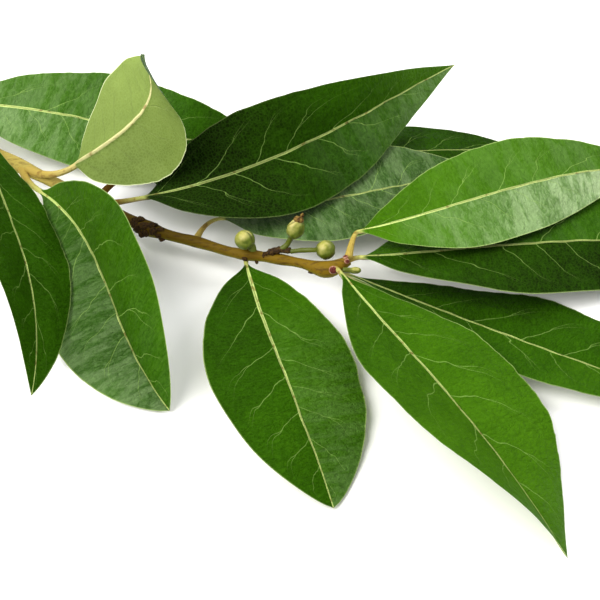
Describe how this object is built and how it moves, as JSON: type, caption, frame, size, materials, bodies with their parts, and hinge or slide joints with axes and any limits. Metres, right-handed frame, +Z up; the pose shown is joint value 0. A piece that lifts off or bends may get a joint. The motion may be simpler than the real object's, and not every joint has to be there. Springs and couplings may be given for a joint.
{
  "type": "bay leaf branch",
  "caption": "Cut branch of bay laurel lying on a table: a slim woody twig with leathery pointed leaves on short stalks and round flower buds at its joints.",
  "frame": {"origin": "on the table, below the middle of the branch's box", "axes": "+X along the branch towards its growing tip, +Y to the back, +Z up from the table"},
  "size_m": [0.2323, 0.1649, 0.0482],
  "materials": {
    "leaf_blade": "glossy leathery evergreen leaf, pale matte underside, pale midrib and veins",
    "twig_bark": "smooth olive brown bark, darker and knobbly at old joints",
    "flower_bud": "pale yellow-green bracts, satin"
  },
  "bodies": {
    "root": {"twig": "twig_bark", "leaf_rear_left": "leaf_blade", "leaf_far_left": "leaf_blade", "leaf_raised": "leaf_blade", "leaf_front_left": "leaf_blade", "leaf_centre": "leaf_blade", "leaf_rear_dark": "leaf_blade", "leaf_under_centre": "leaf_blade", "leaf_front_centre": "leaf_blade", "leaf_right_top": "leaf_blade", "leaf_right_middle": "leaf_blade", "leaf_right_low": "leaf_blade", "leaf_front_right": "leaf_blade", "bud_left": "flower_bud", "bud_upper": "flower_bud", "bud_side": "flower_bud", "bud_end": "flower_bud"}
  },
  "joints": []
}
